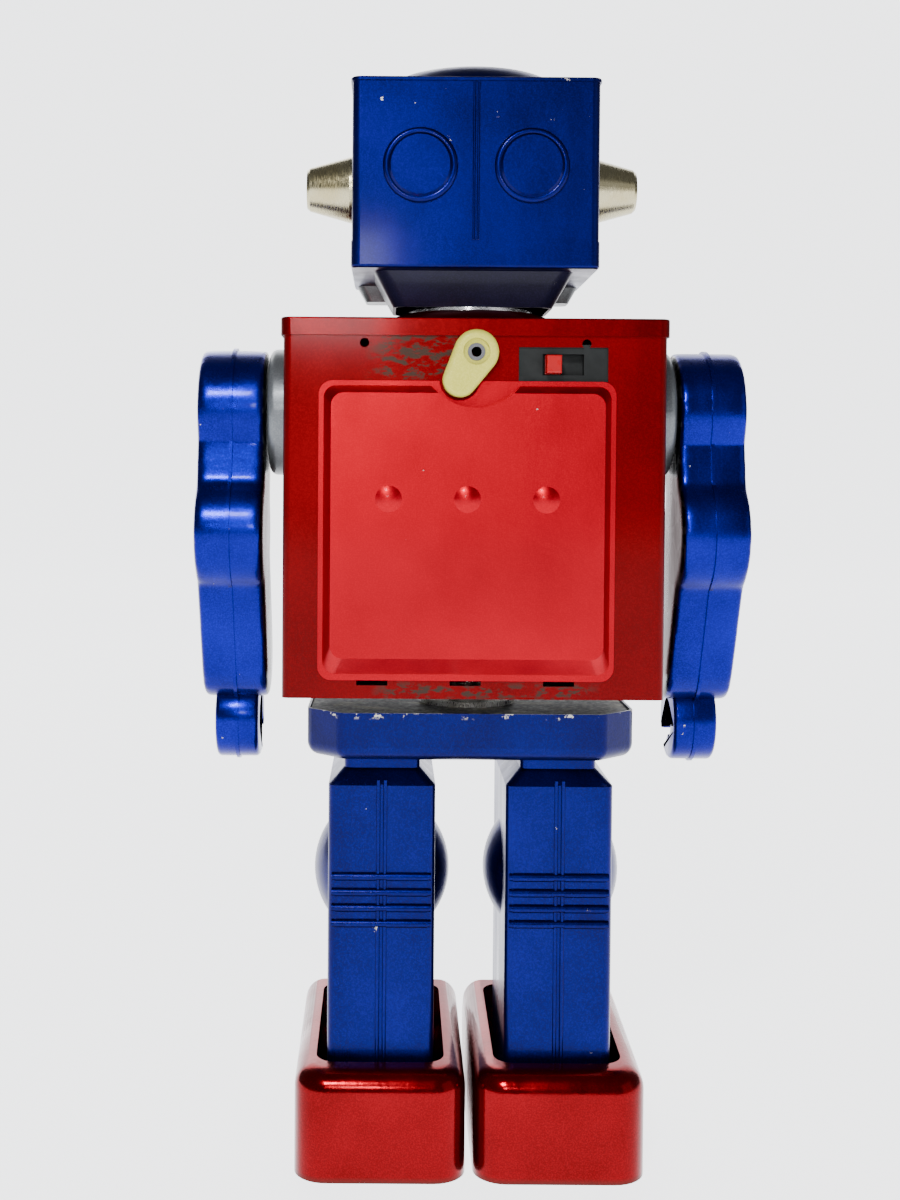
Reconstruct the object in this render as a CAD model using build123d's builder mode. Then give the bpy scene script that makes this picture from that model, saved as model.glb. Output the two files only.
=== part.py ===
from build123d import *
import os
from math import acos, cos, pi, radians, sin, sqrt, tan

# Battery toy robot in pressed tinplate. It faces -Y and stands on the plane Z = 0, with the origin on the
# floor under the middle of its boots. Its own left side is +X. All sizes are millimetres.
#
# The torso turns on the pelvis. The legs hang from a rod in the pelvis and swing against each other, driven
# by a crank, and each boot hangs from its leg by an ankle pin and rolls on two axles. The torso holds the
# cells, the switch, the motor and the wheels that show behind the chest window.

os.makedirs("parts", exist_ok=True)

# ---------------------------------------------------------------- driving sizes
tin = 0.6  # painted tinplate
mid_y = 6.0  # fore-and-aft middle of the torso, head and pelvis
run = 0.05  # radial clearance of a running fit

boot_w, boot_l, boot_top = 44.4, 84.0, 32.0
boot_x = 23.2  # middle of a boot and of its leg
heel_top, heel_round = 28.5, 10.0
toe_top = 12.0
sole_z = 1.0

leg_w, leg_d, leg_y = 28.0, 48.0, 7.0
leg_bottom, leg_shoulder, leg_top = 13.0, 104.5, 108.0
knee_z, knee_r, knee_h = 73.7, 13.0, 4.5
hip_z, ankle_z, pin_r = 112.5, 17.0, 1.5
stride = 6.0  # degrees that a leg swings each way

pelvis_w, pelvis_d, pelvis_bottom, pelvis_top = 86.0, 56.0, 107.4, 119.9
torso_w, torso_d, torso_bottom, torso_top = 98.4, 60.0, 124.0, 221.2
back_y = mid_y + torso_d / 2
front_y = mid_y - torso_d / 2
head_w, head_d, head_bottom, head_top = 64.0, 52.0, 242.0, 283.0
head_back = mid_y + head_d / 2
head_front = mid_y - head_d / 2

shoulder_z, shoulder_r = 198.5, 16.5
arm_x, arm_half = 64.0, 9.2  # the arm's seam, and the depth of each half
elbow_y, elbow_z, elbow_r = 14.0, 166.0, 15.5
hand_y, hand_z, hand_r, grip_r, hand_half = -8.5, 112.5, 11.4, 4.6, 6.0

window_w, window_h, window_z = 70.0, 42.0, 167.0
cover_x, cover_w, cover_bottom, cover_top, cover_h = 2.0, 76.0, 128.8, 205.6, 4.9
cover_gap = 0.3
latch_z, latch_reach, latch_hub, latch_tip, latch_lean = 212.8, 8.2, 5.7, 4.4, 30.0
switch_x, switch_z, switch_w, switch_h = -22.5, 210.0, 22.9, 8.8
cell_r, cell_len, cell_y, cell_bottom = 17.0, 61.5, 23.2, 136.0


def finish(builder, name):
    """Labels a finished piece and writes it as its own STEP file."""
    builder.part.label = name
    export_step(builder.part, f"parts/{name}.step")


def on_y(y):
    """The XZ plane at depth y. Its extrusions run towards -Y, and its local Y is up."""
    return Plane.XZ.offset(-y)


# ---------------------------------------------------------------- boots
def boot_form(inset):
    """A boot on the X axis: its outer form, or the hollow inside when inset is the wall."""
    half, top = boot_l / 2 - inset, boot_top - inset
    with BuildPart() as form:
        with BuildSketch(Plane.XY.offset(0.6 if inset == 0 else 0.0)):
            RectangleRounded(boot_w - 2 * inset, 2 * half, 7.0 - inset)
        extrude(amount=boot_top)
        with BuildSketch(Plane.YZ.offset(-boot_w / 2)) as side:
            with BuildLine():
                heel = (half, heel_top - heel_round)
                instep = (half - heel_round, heel_top - inset)
                ball = (-boot_l / 2 + 19.0, top)
                toe = (-half, toe_top - inset)
                Polyline(toe, (-half, 0), (half, 0), heel)
                RadiusArc(heel, instep, -heel_round)
                Line(instep, ball)
                TangentArc(ball, toe, tangent=(-1, 0.02))
            make_face()
        extrude(amount=boot_w, mode=Mode.INTERSECT)
    return form.part


def make_boot(side):
    """The pressed boot, its tin sole plate and the ankle pin that the leg swings on."""
    x = side * boot_x
    axle_y = 27.0
    with BuildPart() as shell:
        with Locations((x, 0, 0)):
            add(boot_form(0))
            add(boot_form(tin + 0.1), mode=Mode.SUBTRACT)
        with BuildSketch(Plane.XY.offset(20)):
            with Locations((x, leg_y)):
                RectangleRounded(33.5, leg_d + 6, 5)
        extrude(amount=20, mode=Mode.SUBTRACT)
        # a boss on each inner wall holds the ankle pin
        for wall in (-1, 1):
            with BuildSketch(Plane.YZ.offset(x + wall * (boot_w / 2 - 0.3))):
                with Locations((leg_y, ankle_z)):
                    Circle(3.4)
            extrude(amount=-wall * 4.0)
        with BuildSketch(Plane.YZ.offset(x - 18.5)):
            with Locations((leg_y, ankle_z)):
                Circle(pin_r)
        extrude(amount=37.0, mode=Mode.SUBTRACT)
    with BuildPart() as sole:
        with BuildSketch(Plane.XY.offset(sole_z)):
            with Locations((x, 0)):
                RectangleRounded(boot_w - 2 * tin - 0.4, boot_l - 2 * tin - 0.4, 6.0)
            with Locations([(x + sx * 12.0, sy * axle_y) for sx in (-1, 1) for sy in (-1, 1)]):
                Rectangle(7.0, 11.0, mode=Mode.SUBTRACT)
        extrude(amount=tin)
        # two folded ears carry each axle
        with BuildSketch(Plane.YZ.offset(x - 8.0)) as ears:
            with Locations([(sy * axle_y, 4.5) for sy in (-1, 1)]):
                Rectangle(6.0, 6.4)
                Circle(0.8 + run, mode=Mode.SUBTRACT)
        extrude(amount=tin)
        extrude(ears.sketch.moved(Location((16.0 - tin, 0, 0))), amount=tin)
    with BuildPart() as pin:
        with BuildSketch(Plane.YZ.offset(x - 18.5)):
            with Locations((leg_y, ankle_z)):
                Circle(pin_r)
        extrude(amount=37.0)
    return shell, sole, pin


def make_wheel_set(side, y):
    """A steel axle with its two rubber rollers, which reach the floor through the sole."""
    x, roller_r, roller_w = side * boot_x, 4.5, 5.0
    with BuildPart() as wheels:
        with BuildSketch(Plane.YZ.offset(x - 15.0)):
            with Locations((y, roller_r)):
                Circle(0.8)
        extrude(amount=30.0)
        for wheel_x in (-12.0 - roller_w / 2, 12.0 - roller_w / 2):
            with BuildPart(mode=Mode.PRIVATE) as roller:
                with BuildSketch(Plane.YZ.offset(x + wheel_x)):
                    with Locations((y, roller_r)):
                        Circle(roller_r)
                extrude(amount=roller_w)
                fillet(roller.edges().filter_by(GeomType.CIRCLE), 0.6)
            add(roller.part)
    return wheels


for side, name in ((1, "left"), (-1, "right")):
    boot_shell, sole_plate, ankle_pin = make_boot(side)
    finish(boot_shell, f"{name}_boot_shell")
    finish(sole_plate, f"{name}_sole_plate")
    finish(ankle_pin, f"{name}_ankle_pin")
    finish(make_wheel_set(side, -27.0), f"{name}_front_wheels")
    finish(make_wheel_set(side, 27.0), f"{name}_rear_wheels")


# ---------------------------------------------------------------- legs
def leg_form(inset):
    """A whole leg on the X axis: its outer form, or the hollow inside when inset is the wall."""
    low = leg_bottom - 1.0 if inset else leg_bottom
    bevel = leg_shoulder - 4.0 - inset / 2
    neck_w, neck_d = leg_w - 8.0 - 2 * inset, leg_d - 8.0 - 2 * inset
    with BuildPart() as form:
        with BuildSketch(Plane.XY.offset(low)):
            with Locations((0, leg_y)):
                RectangleRounded(leg_w - 2 * inset, leg_d - 2 * inset, 2.4 - inset)
        extrude(amount=bevel - low)
        with BuildSketch(Plane.XY.offset(bevel)):
            with Locations((0, leg_y)):
                RectangleRounded(leg_w - 2 * inset, leg_d - 2 * inset, 2.4 - inset)
        with BuildSketch(Plane.XY.offset(bevel + 4.0)):
            with Locations((0, leg_y)):
                RectangleRounded(neck_w, neck_d, 2.4 - inset)
        loft()
        with BuildSketch(Plane.XY.offset(bevel + 4.0)):
            with Locations((0, leg_y)):
                RectangleRounded(neck_w, neck_d, 2.4 - inset)
        extrude(amount=leg_top - leg_shoulder + 2 * inset)
        # the round knee discs pressed out of both side walls
        dome_r = (knee_r**2 + knee_h**2) / (2 * knee_h)
        for wall in (-1, 1):
            with BuildPart(mode=Mode.PRIVATE) as knee:
                with Locations((wall * (leg_w / 2 + knee_h - dome_r), leg_y, knee_z)):
                    Sphere(dome_r - inset)
                with Locations((0, leg_y, knee_z)):
                    Box(leg_w + 2 * knee_h + 2, 3 * knee_r, 3 * knee_r, mode=Mode.INTERSECT)
                with Locations((-wall * 50, leg_y, knee_z)):
                    Box(100, 100, 100, mode=Mode.SUBTRACT)
            add(knee.part)
    return form.part


def make_leg_half(side, outward):
    """One pressed half of a leg, split down the middle of its front and back."""
    x = side * boot_x
    with BuildPart() as half:
        with Locations((x, 0, 0)):
            add(leg_form(0))
        # four knee ribs on the front and back, broken at the seam
        for rib_z in (76.7, 72.6, 68.5, 64.4):
            for rib_y in (leg_y + leg_d / 2, leg_y - leg_d / 2):
                for rib_x in (-6.8, 6.8):
                    with Locations((x + rib_x, rib_y, rib_z)):
                        Cylinder(1.15, 10.6, rotation=(0, 90, 0))
        with Locations((x, 0, 0)):
            add(leg_form(tin), mode=Mode.SUBTRACT)
        # the seam's edges are rolled in, which leaves a fine groove
        with Locations((x, leg_y + leg_d / 2, 60), (x, leg_y - leg_d / 2, 60)):
            Box(0.7, 0.5, 100, mode=Mode.SUBTRACT)
        with Locations((x - outward * side * 50, leg_y, 60)):
            Box(100, 200, 200, mode=Mode.SUBTRACT)
        # the ankle pin passes through, with room to spare in the thin wall
        with Locations((x, leg_y, ankle_z)):
            Cylinder(pin_r + 0.4, 60, rotation=(0, 90, 0), mode=Mode.SUBTRACT)
    return half


crank_y = -12.0
throw = (leg_y - crank_y) * sin(radians(stride))
slot_play = 0.6
arm_end = crank_y - throw - pin_r - slot_play - 1.2


def make_leg_bar(side):
    """The steel bar inside a leg: it hangs on the hip rod, reaches forward to the crank and ends at the ankle."""
    x, strip = side * boot_x, 1.6
    with BuildPart() as bar:
        with BuildSketch(Plane.YZ.offset(x - strip / 2)):
            with Locations((leg_y, (hip_z + ankle_z) / 2)):
                Rectangle(8.0, hip_z - ankle_z)
            with Locations((leg_y, hip_z), (leg_y, ankle_z)):
                Circle(4.0)
            with Locations(((leg_y + arm_end) / 2, hip_z)):
                Rectangle(leg_y - arm_end, 6.0)
            with Locations((crank_y, hip_z)):
                SlotOverall(2 * (throw + pin_r + slot_play), 2 * (pin_r + slot_play), mode=Mode.SUBTRACT)
            with Locations((leg_y, hip_z), (leg_y, ankle_z)):
                Circle(pin_r + run, mode=Mode.SUBTRACT)
        extrude(amount=strip)
    return bar


for side, name in ((1, "left"), (-1, "right")):
    finish(make_leg_half(side, 1), f"{name}_leg_outer_shell")
    finish(make_leg_half(side, -1), f"{name}_leg_inner_shell")
    finish(make_leg_bar(side), f"{name}_leg_bar")

# ---------------------------------------------------------------- pelvis
with BuildPart() as pelvis_pan:
    with BuildSketch(Plane.XY.offset(pelvis_bottom)):
        with Locations((0, mid_y)):
            outline = Rectangle(pelvis_w, pelvis_d)
        chamfer(outline.vertices(), 9.0)
    extrude(amount=pelvis_top - pelvis_bottom)
    fillet(pelvis_pan.edges().filter_by(Axis.Z), 4.0)
    fillet(pelvis_pan.faces().sort_by(Axis.Z)[0].edges(), 3.5)
    offset(amount=-tin, openings=pelvis_pan.faces().sort_by(Axis.Z)[-1])
    with BuildSketch(Plane.XY.offset(pelvis_bottom - 1)):
        # openings for the leg necks and for the arms of the leg bars
        with Locations((boot_x, leg_y - 1.75), (-boot_x, leg_y - 1.75)):
            Rectangle(leg_w - 8 + 2.0, leg_d - 8 + 7.5)
    extrude(amount=4, mode=Mode.SUBTRACT)
    for wall in (-1, 1):
        with Locations((wall * (pelvis_w / 2 - 1.6), leg_y, hip_z)):
            Cylinder(3.0, 3.0, rotation=(0, 90, 0))
    with Locations((0, leg_y, hip_z)):
        Cylinder(pin_r, pelvis_w - 3, rotation=(0, 90, 0), mode=Mode.SUBTRACT)
finish(pelvis_pan, "pelvis_pan")

plate_z = 118.7
with BuildPart() as pelvis_plate:
    with BuildSketch(Plane.XY.offset(plate_z)):
        with Locations((0, mid_y)):
            plate = Rectangle(pelvis_w - 2 * tin - 0.4, pelvis_d - 2 * tin - 0.4)
        chamfer(plate.vertices(), 9.0)
        with Locations((0, mid_y)):
            Circle(6.0, mode=Mode.SUBTRACT)
    extrude(amount=tin)
    # two lugs bent down from the plate carry the crank
    with BuildSketch(Plane.YZ.offset(-10.0)) as lugs:
        with Locations((crank_y, (plate_z + hip_z - 3.0) / 2)):
            Rectangle(6.0, plate_z - hip_z + 3.0)
        with Locations((crank_y, hip_z)):
            Circle(pin_r + run, mode=Mode.SUBTRACT)
    extrude(amount=1.0)
    extrude(lugs.sketch.moved(Location((19.0, 0, 0))), amount=1.0)
finish(pelvis_plate, "pelvis_plate")

with BuildPart() as hip_rod:
    with Locations((0, leg_y, hip_z)):
        Cylinder(pin_r, pelvis_w - 3, rotation=(0, 90, 0))
finish(hip_rod, "hip_rod")

with BuildPart() as crank_shaft:
    with Locations((0, crank_y, hip_z)):
        Cylinder(pin_r, 38.0, rotation=(0, 90, 0))
    for wall in (-1, 1):
        with Locations((wall * 18.2, crank_y + throw / 2 * wall, hip_z)):
            Box(1.6, 3.0 + throw, 3.0)
        with Locations((wall * 21.4, crank_y + throw * wall, hip_z)):
            Cylinder(pin_r, 6.4, rotation=(0, 90, 0))
finish(crank_shaft, "crank_shaft")

with BuildPart() as waist_bearing:
    with BuildSketch(Plane.XZ) as section:
        with BuildLine():
            Polyline(
                (4.0 + run, plate_z - 3), (6.0, plate_z - 3), (6.0, plate_z + tin), (13.0, plate_z + tin),
                (13.0, 120.6), (6.0, 121.6), (6.0, 123.0), (4.0 + run, 123.0), close=True,
            )
        make_face()
    revolve(axis=Axis.Z)
with BuildPart() as waist_bearing_placed:
    with Locations((0, mid_y, 0)):
        add(waist_bearing.part)
finish(waist_bearing_placed, "waist_bearing")

# ---------------------------------------------------------------- torso
with BuildPart() as torso_shell:
    with BuildSketch(Plane.XY.offset(torso_bottom)):
        with Locations((0, mid_y)):
            RectangleRounded(torso_w, torso_d, 2.0)
            RectangleRounded(torso_w - 2 * tin, torso_d - 2 * tin, 1.4, mode=Mode.SUBTRACT)
    extrude(amount=torso_top - torso_bottom)
    # back: battery opening, switch window, latch post hole, two rivet holes and three tab slots
    with BuildSketch(on_y(back_y + 1)):
        with Locations((cover_x, 167.0)):
            Rectangle(71.0, 66.0)
        with Locations((switch_x, switch_z)):
            Rectangle(switch_w, switch_h)
        with Locations((0, latch_z)):
            Circle(2.2)
        with Locations((28.4, 215.3), (-28.4, 215.3)):
            Circle(1.2)
        with Locations([(cover_x + dx, 129.3) for dx in (-24, 0, 24)]):
            Rectangle(8.0, 3.8)
    extrude(amount=3, mode=Mode.SUBTRACT)
    with BuildSketch(on_y(front_y + 2)):
        with Locations((0, window_z)):
            RectangleRounded(window_w, window_h, 5.0)
    extrude(amount=4, mode=Mode.SUBTRACT)
    with Locations((0, mid_y, shoulder_z)):
        Cylinder(2.0, torso_w + 4, rotation=(0, 90, 0), mode=Mode.SUBTRACT)
finish(torso_shell, "torso_shell")

lid_skirt = 0.7
boss_r, boss_h, neck_r = 24.0, 3.4, 17.0
with BuildPart() as torso_lid:
    with BuildSketch(Plane.XY.offset(torso_top - 4.0)):
        with Locations((0, mid_y)):
            RectangleRounded(torso_w + 2 * lid_skirt, torso_d + 2 * lid_skirt, 2.6)
            RectangleRounded(torso_w, torso_d, 2.0, mode=Mode.SUBTRACT)
    extrude(amount=4.0)
    with BuildSketch(Plane.XY.offset(torso_top)):
        with Locations((0, mid_y)):
            RectangleRounded(torso_w + 2 * lid_skirt, torso_d + 2 * lid_skirt, 2.6)
    extrude(amount=tin)
    fillet(torso_lid.faces().sort_by(Axis.Z)[-1].edges(), 0.5)
    with BuildPart(mode=Mode.PRIVATE) as boss:
        with BuildSketch(Plane.XZ):
            with BuildLine():
                rim = (boss_r, torso_top + tin)
                crown = (neck_r, torso_top + tin + boss_h)
                Polyline(rim, (0, torso_top + tin), (0, torso_top + tin + boss_h), crown)
                RadiusArc(crown, rim, 9.0)
            make_face()
        revolve(axis=Axis.Z)
    with Locations((0, mid_y, 0)):
        add(boss.part)
    with Locations((0, mid_y, torso_top)):
        Cylinder(neck_r, 20, mode=Mode.SUBTRACT)
finish(torso_lid, "torso_lid")

with BuildPart() as torso_floor:
    with BuildSketch(Plane.XY.offset(torso_bottom)):
        with Locations((0, mid_y)):
            RectangleRounded(torso_w - 2 * tin, torso_d - 2 * tin, 1.4)
            Circle(4.0, mode=Mode.SUBTRACT)
    extrude(amount=tin)
finish(torso_floor, "torso_floor")

with BuildPart() as waist_shaft:
    with Locations((0, mid_y, 120.0)):
        Cylinder(4.0, 12.0)
    with Locations((0, mid_y, torso_bottom + tin)):
        Cylinder(9.0, 1.4, align=(Align.CENTER, Align.CENTER, Align.MIN))
    with Locations((0, mid_y, 126.0)):
        Cylinder(1.6, 30.0, mode=Mode.SUBTRACT)
finish(waist_shaft, "waist_shaft")

with BuildPart() as neck_ring:
    with BuildSketch(Plane.XY.offset(torso_top + tin - 1.2)):
        with Locations((0, mid_y)):
            Circle(neck_r)
            Circle(neck_r - 1.2, mode=Mode.SUBTRACT)
    extrude(amount=5.4)
finish(neck_ring, "neck_ring")

with BuildPart() as chest_bezel:
    with BuildSketch(on_y(front_y)):
        with Locations((0, window_z)):
            RectangleRounded(window_w + 7.0, window_h + 7.0, 7.0)
            RectangleRounded(window_w - 1.0, window_h - 1.0, 4.5, mode=Mode.SUBTRACT)
    extrude(amount=1.6)
    fillet(chest_bezel.faces().sort_by(Axis.Y)[0].edges(), 0.7)
finish(chest_bezel, "chest_bezel")

with BuildPart() as chest_window:
    with BuildSketch(on_y(front_y + tin + 1.2)):
        with Locations((0, window_z)):
            RectangleRounded(window_w + 6.0, window_h + 6.0, 5.0)
    extrude(amount=1.2)
finish(chest_window, "chest_window")

# ---------------------------------------------------------------- cells and switch
box_w, box_bottom, box_top, box_front, wall = 72.4, 132.8, 201.2, 5.2, 0.8
with BuildPart() as battery_box:
    with Locations((cover_x, (box_front + back_y - tin) / 2, (box_bottom + box_top) / 2)):
        Box(box_w, back_y - tin - box_front, box_top - box_bottom)
    with Locations((cover_x, (box_front + wall + back_y) / 2 + 1, (box_bottom + box_top) / 2)):
        Box(box_w - 2 * wall, back_y - box_front - wall + 2, box_top - box_bottom - 2 * wall, mode=Mode.SUBTRACT)
finish(battery_box, "battery_box")

cell_places = [(cover_x + dx, cell_y) for dx in (-17.4, 17.4)]
with BuildPart() as battery_cells:
    with BuildSketch(Plane.XY.offset(cell_bottom)):
        with Locations(cell_places):
            Circle(cell_r)
    extrude(amount=cell_len - 2.0)
    with BuildSketch(Plane.XY.offset(cell_bottom + cell_len - 2.0)):
        with Locations(cell_places):
            Circle(4.8)
    extrude(amount=2.0)
finish(battery_cells, "battery_cells")

with BuildPart() as battery_contacts:
    with BuildSketch(Plane.XY.offset(cell_bottom + cell_len + 0.4)):
        with Locations((cover_x, cell_y)):
            RectangleRounded(52.0, 12.0, 2.0)
    extrude(amount=0.5)
    # two coil springs, drawn as stacks of flat turns
    for turn in range(3):
        with BuildSketch(Plane.XY.offset(box_bottom + wall + 0.8 * turn)):
            with Locations(cell_places):
                Circle(7.0 - turn)
                Circle(4.6 - turn, mode=Mode.SUBTRACT)
        extrude(amount=0.8)
finish(battery_contacts, "battery_contacts")

with BuildPart() as switch_body:
    with BuildSketch(on_y(back_y - tin)):
        with Locations((switch_x, switch_z)):
            Rectangle(switch_w + 5.0, switch_h + 1.4)
    extrude(amount=4.0)
    with BuildSketch(on_y(back_y - tin)):
        with Locations((switch_x, switch_z)):
            Rectangle(10.6, 5.4)
    extrude(amount=3.0, mode=Mode.SUBTRACT)
finish(switch_body, "switch_body")

knob_x = switch_x + 2.9  # at rest the knob is towards the latch
with BuildPart() as switch_knob:
    with BuildSketch(on_y(back_y - tin - 0.3)):
        with Locations((knob_x - 0.3, switch_z)):
            Rectangle(4.0, 4.8)
    extrude(amount=2.4)
    with BuildSketch(on_y(back_y - tin - 0.3)):
        with Locations((knob_x + 0.3 - 0.6, switch_z)):
            Rectangle(3.9, 4.7)
    extrude(amount=-3.4)
    fillet(switch_knob.faces().sort_by(Axis.Y)[-1].edges(), 0.4)
finish(switch_knob, "switch_knob")

# ---------------------------------------------------------------- battery cover and its latch
latch_y = back_y + 1.4
tip_x = latch_reach * sin(radians(latch_lean))
tip_z = latch_z - latch_reach * cos(radians(latch_lean))


def cover_form(inset, height):
    """The cover's raised tray, drawn in by the sheet for its hollow. It is scooped out round the latch."""
    base, top = cover_bottom + 1.0, cover_top - 1.0
    with BuildPart() as form:
        with BuildSketch(on_y(back_y + cover_gap)):
            with Locations((cover_x, (base + top) / 2)):
                low = RectangleRounded(cover_w - 2.0 - 2 * inset, top - base - 2 * inset, 3.2)
        with BuildSketch(on_y(back_y + cover_gap + height)):
            with Locations((cover_x, (base + top) / 2 + 1.4)):
                high = RectangleRounded(cover_w - 6.6 - 2 * inset, top - base - 7.4 - 2 * inset, 3.2)
        loft()
        with Locations((0, back_y, latch_z)):
            Cylinder(14.2 + inset, 40, rotation=(90, 0, 0), mode=Mode.SUBTRACT)
    return form.part


with BuildPart() as battery_cover:
    with BuildSketch(on_y(back_y + cover_gap + tin)):
        with Locations((cover_x, (cover_bottom + cover_top) / 2)):
            RectangleRounded(cover_w, cover_top - cover_bottom, 3.6)
    extrude(amount=tin)
    add(cover_form(0, cover_h))
    add(cover_form(tin, cover_h - tin), mode=Mode.SUBTRACT)
    # three round pips pressed out of the tray
    pip_r, pip_h = 3.4, 0.8
    pip_ball = (pip_r**2 + pip_h**2) / (2 * pip_h)
with BuildPart() as cover_pips:
    with Locations([(cover_x + dx, back_y + cover_gap + cover_h + pip_h - pip_ball, 175.4) for dx in (-20, 0, 20)]):
        Sphere(pip_ball)
    with Locations((cover_x, back_y + cover_gap + cover_h - 0.3 - 50, 175.4)):
        Box(100, 100, 100, mode=Mode.SUBTRACT)
with BuildPart() as cover_done:
    add(battery_cover.part)
    add(cover_pips.part)
    # a notch behind the latch's tip lets the cover hinge out past it
    with BuildSketch(on_y(back_y + 3)):
        with Locations((tip_x, tip_z)):
            Circle(latch_tip + 0.7)
        with Locations((tip_x + 1.6, tip_z + 10)):
            Rectangle(2 * latch_tip + 4.6, 20)
    extrude(amount=4, mode=Mode.SUBTRACT)
    # three tabs hook into slots in the back panel
    for dx in (-24, 0, 24):
        with Locations((cover_x + dx, back_y + cover_gap + tin - 1.15, cover_bottom + tin / 2)):
            Box(6.0, 2.3, tin)
finish(cover_done, "battery_cover")

with BuildPart() as latch_post:
    with BuildSketch(on_y(back_y - tin - 2)):
        with Locations((0, latch_z)):
            Circle(2.2)
            Circle(1.3, mode=Mode.SUBTRACT)
    extrude(amount=-(tin + 2 + 4.6))
    with BuildSketch(on_y(back_y - tin)):
        with Locations((0, latch_z)):
            Circle(3.6)
            Circle(1.3, mode=Mode.SUBTRACT)
    extrude(amount=0.8)
finish(latch_post, "latch_post")

with BuildPart() as latch_lever:
    with BuildSketch(on_y(latch_y)) as outline:
        with Locations((0, latch_z)):
            Circle(latch_hub)
        with Locations((tip_x, tip_z)):
            Circle(latch_tip)
        make_hull()
    extrude(amount=-4.4)
    fillet(latch_lever.faces().sort_by(Axis.Y)[-1].edges(), 1.6)
    with BuildSketch(on_y(latch_y)):
        with Locations((0, latch_z)):
            Circle(2.2 + run)
    extrude(amount=-6.0, mode=Mode.SUBTRACT)
    with BuildSketch(on_y(latch_y + 3.0)):
        with Locations((0, latch_z)):
            Circle(3.4)
    extrude(amount=-3.0, mode=Mode.SUBTRACT)
finish(latch_lever, "latch_lever")


# ---------------------------------------------------------------- motor and wheel train
def gear_points(teeth, module, phase):
    """The outline of an involute spur gear about the origin, with a tooth centred on the angle phase."""
    pressure, play = radians(25.0), 0.16
    pitch_r = teeth * module / 2
    base_r = pitch_r * cos(pressure)
    tip_r, root_r = pitch_r + 0.8 * module, pitch_r - 1.1 * module
    half_at_pitch = (pi * module - play) / 4 / pitch_r

    def half_angle(r):
        spread = acos(min(1.0, base_r / r))
        return half_at_pitch + (tan(pressure) - pressure) - (tan(spread) - spread)

    start = max(root_r, base_r)
    radii = [start + k / 3 * (tip_r - start) for k in range(4)]
    if root_r < start:
        radii.insert(0, root_r)
    points = []
    for tooth in range(teeth):
        middle = radians(phase) + 2 * pi * tooth / teeth
        rising = [(r, middle - half_angle(max(r, base_r))) for r in radii]
        falling = [(r, 2 * middle - a) for r, a in reversed(rising)]
        points += [(r * cos(a), r * sin(a)) for r, a in rising + falling]
    return points


def mesh_phase(direction, teeth, phase, other_teeth):
    """The phase of a gear that meshes with one of `teeth` at `phase`, standing at `direction` from it."""
    passed = (direction - phase) / (360 / teeth)
    return direction + 180 + (passed - 0.5) * 360 / other_teeth


def spur(y, depth, x, z, teeth, module, phase, bore, holes):
    """A gear whose rear face is at y, running forward by depth, with a ring of lightening holes."""
    with BuildPart() as gear:
        with BuildSketch(on_y(y)):
            with Locations((x, z)):
                with BuildSketch(mode=Mode.PRIVATE) as blank:
                    with BuildLine():
                        Polyline(*gear_points(teeth, module, phase), close=True)
                    make_face()
                add(blank.sketch)
                Circle(bore, mode=Mode.SUBTRACT)
                if holes:
                    with PolarLocations(teeth * module * 0.29, 5):
                        Circle(teeth * module * 0.095, mode=Mode.SUBTRACT)
        extrude(amount=depth)
    return gear


plate_rear, plate_front = -3.4, -12.4
arbor_r, arbor_x, arbor_z = 1.5, 0.0, 159.0
big_teeth, small_teeth, show_module = 20, 14, 1.5
drive_teeth, pinion_teeth, drive_module = 40, 10, 0.8
show_reach = (big_teeth + small_teeth) * show_module / 2
motor_reach = (drive_teeth + pinion_teeth) * drive_module / 2
motor_z = arbor_z - motor_reach
side_angle = 30.0
side_x, side_z = show_reach * cos(radians(side_angle)), arbor_z + show_reach * sin(radians(side_angle))

finish(spur(1.0, 2.6, arbor_x, arbor_z, drive_teeth, drive_module, 0.0, arbor_r, True), "drive_gear")
left_phase = mesh_phase(side_angle, big_teeth, 0.0, small_teeth)
right_phase = mesh_phase(180 - side_angle, big_teeth, 0.0, small_teeth)
for name, x, z, teeth, phase, arbor_back, arbor_len in (
    ("centre_gear", arbor_x, arbor_z, big_teeth, 0.0, 2.6, 23.0),
    ("left_gear", side_x, side_z, small_teeth, left_phase, -1.8, 18.6),
    ("right_gear", -side_x, side_z, small_teeth, right_phase, -1.8, 18.6),
):
    wheel = spur(-14.6, 4.4, x, z, teeth, show_module, phase, arbor_r, True)
    with BuildPart() as wheel_on_arbor:
        add(wheel.part)
        with BuildSketch(on_y(arbor_back)):
            with Locations((x, z)):
                Circle(arbor_r)
        extrude(amount=arbor_len)
    finish(wheel_on_arbor, name)

pinion = spur(1.0, 2.6, 0, motor_z, pinion_teeth, drive_module, mesh_phase(-90.0, drive_teeth, 0.0, pinion_teeth),
              0.8, False)
with BuildPart() as motor_pinion:
    add(pinion.part)
    with BuildSketch(on_y(1.6)):
        with Locations((0, motor_z)):
            Circle(0.8)
    extrude(amount=6.6)
finish(motor_pinion, "motor_pinion")

motor_r = 10.6
with BuildPart() as motor_can:
    with BuildSketch(on_y(plate_rear)):
        with Locations((0, motor_z)):
            Circle(motor_r)
    extrude(amount=10.0)
    fillet(motor_can.edges().filter_by(GeomType.CIRCLE).sort_by(Axis.Y)[0], 1.6)
    with BuildSketch(on_y(plate_rear)):
        with Locations((0, motor_z)):
            Circle(0.8 + run)
    extrude(amount=5.0, mode=Mode.SUBTRACT)
finish(motor_can, "motor_can")

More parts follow.
